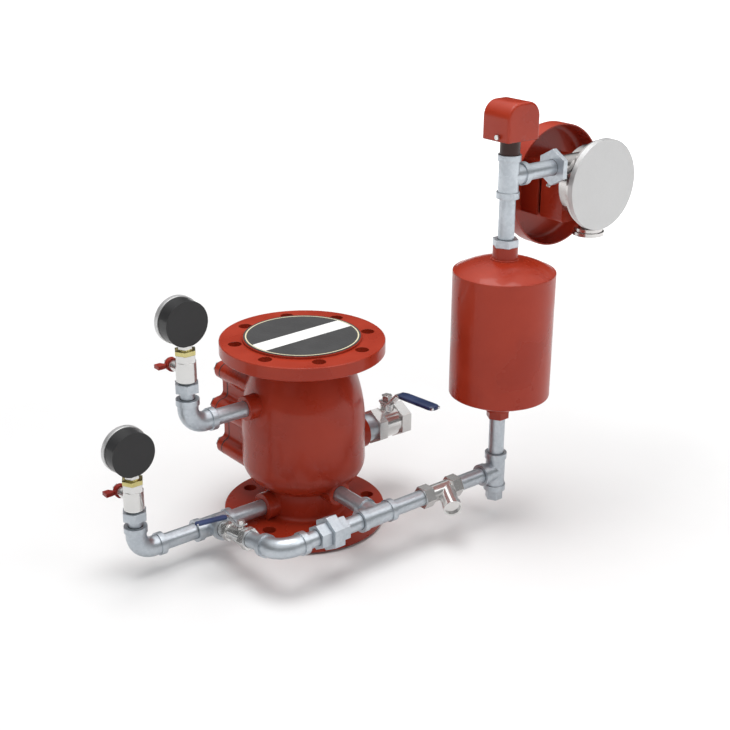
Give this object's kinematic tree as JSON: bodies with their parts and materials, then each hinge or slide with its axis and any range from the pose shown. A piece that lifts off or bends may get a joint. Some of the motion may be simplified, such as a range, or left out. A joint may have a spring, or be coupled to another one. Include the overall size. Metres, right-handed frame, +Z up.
{
  "type": "sprinkler alarm valve",
  "caption": "Flanged upright alarm check valve with red enamel body, gauge trim, test and drain valves, retard chamber, pressure switch, water motor and gong.",
  "frame": {"origin": "centre of the inlet flange's raised face", "axes": "+Z up along the valve's axis from inlet to outlet, +X along the alarm line from the gauges to the retard chamber, +Y to the hand-hole cover and the gauge dials"},
  "size_m": [0.7497, 0.345, 0.576],
  "materials": {
    "red_paint": "gloss red enamel over cast iron",
    "rubber_black": "matt moulded rubber",
    "bronze": "machined bronze",
    "stainless": "turned stainless steel",
    "zinc_bolts": "zinc plated",
    "outlet_print": "printed board, left plain",
    "galvanised": "hot-dip galvanised, soft sheen",
    "nickel": "nickel plated, polished",
    "gauge_brass": "turned brass",
    "gauge_black": "black enamel",
    "dial_white": "matt white enamel with printed numbers",
    "window": "clear flat glass",
    "pointer_black": "matt black",
    "lever_red": "red enamel",
    "lever_steel": "plated strip",
    "sleeve_blue": "dipped vinyl grip",
    "mesh_steel": "perforated stainless sheet",
    "switch_black": "moulded plastic",
    "motor_alloy": "polished casting",
    "plate_grey": "plain satin plate"
  },
  "bodies": {
    "valve": {"alarm_elbow": "galvanised", "alarm_tee": "galvanised", "clapper_pin": "stainless", "column_plug": "galvanised", "column_tee": "galvanised", "cover_bolts": "zinc_bolts", "drain_nipple": "galvanised", "drain_valve_body": "nickel", "gauge_bezels": "nickel", "gauge_cases": "gauge_black", "gauge_cock_bodies": "nickel", "gauge_dials": "dial_white", "gauge_nuts": "gauge_brass", "gauge_stems": "nickel", "gauge_windows": "window", "gong": "red_paint", "gong_bracket": "red_paint", "gong_hub": "red_paint", "gong_spindle": "stainless", "handhole_cover": "red_paint", "handhole_gasket": "rubber_black", "hex_bushes": "galvanised", "lower_elbow": "galvanised", "microswitch": "switch_black", "motor_housing": "motor_alloy", "motor_plate": "plate_grey", "outlet_disc": "outlet_print", "retard_chamber": "red_paint", "seat_ring": "bronze", "strainer_body": "nickel", "strainer_cap": "nickel", "strainer_screen": "mesh_steel", "supply_tee": "galvanised", "switch_base": "red_paint", "switch_cover": "red_paint", "test_valve_body": "nickel", "trim_nipples": "galvanised", "trim_screws": "zinc_bolts", "union_halves": "galvanised", "union_nut": "galvanised", "upper_elbow": "galvanised", "upper_tee": "galvanised", "valve_body": "red_paint"},
    "clapper": {"clapper": "bronze", "clapper_facing": "rubber_black"},
    "lower_cock": {"lower_cock_ball": "nickel", "lower_cock_lever": "lever_red"},
    "upper_cock": {"upper_cock_ball": "nickel", "upper_cock_lever": "lever_red"},
    "lower_pointer": {"lower_pointer": "pointer_black"},
    "upper_pointer": {"upper_pointer": "pointer_black"},
    "test_valve": {"test_valve_ball": "nickel", "test_valve_lever": "lever_steel", "test_valve_sleeve": "sleeve_blue"},
    "drain_valve": {"drain_valve_ball": "nickel", "drain_valve_lever": "lever_steel", "drain_valve_sleeve": "sleeve_blue"},
    "water_wheel": {"turbine_wheel": "bronze", "striker": "stainless"},
    "pressure_plunger": {"switch_plunger": "gauge_brass"}
  },
  "joints": [
    {"name": "clapper_swing", "type": "hinge", "parent": "valve", "child": "clapper", "pos_m": [0, -0.061, 0.102], "axis": [1, 0, 0], "range_deg": [0, 60]},
    {"name": "lower_cock_turn", "type": "hinge", "parent": "valve", "child": "lower_cock", "pos_m": [-0.262, 0, 0.1085], "axis": [0, -1, 0], "range_deg": [0, 90]},
    {"name": "upper_cock_turn", "type": "hinge", "parent": "valve", "child": "upper_cock", "pos_m": [-0.178, 0, 0.26], "axis": [0, -1, 0], "range_deg": [0, 90]},
    {"name": "lower_gauge_reading", "type": "hinge", "parent": "valve", "child": "lower_pointer", "pos_m": [-0.262, 0.007, 0.174], "axis": [0, -1, 0], "range_deg": [0, 270], "stiffness_Nm_per_rad": 0.0005, "springref_deg": -34.38},
    {"name": "upper_gauge_reading", "type": "hinge", "parent": "valve", "child": "upper_pointer", "pos_m": [-0.178, 0.007, 0.3255], "axis": [0, -1, 0], "range_deg": [0, 270], "stiffness_Nm_per_rad": 0.0005, "springref_deg": -34.38},
    {"name": "test_valve_turn", "type": "hinge", "parent": "valve", "child": "test_valve", "pos_m": [-0.149, -0.07171, 0.05015], "axis": [0, 0.187, 0.9824], "range_deg": [0, 90]},
    {"name": "drain_valve_turn", "type": "hinge", "parent": "valve", "child": "drain_valve", "pos_m": [0.147, 0, 0.103], "axis": [0, 0, 1], "range_deg": [0, 90]},
    {"name": "water_motor_spin", "type": "hinge", "parent": "valve", "child": "water_wheel", "pos_m": [0.372, -0.1, 0.433], "axis": [0, 1, 0], "continuous": true},
    {"name": "pressure_switch_trip", "type": "slide", "parent": "valve", "child": "pressure_plunger", "axis": [0, 0, 1], "range_m": [0, 0.002], "stiffness_N_per_m": 800, "springref_m": -0.001}
  ]
}
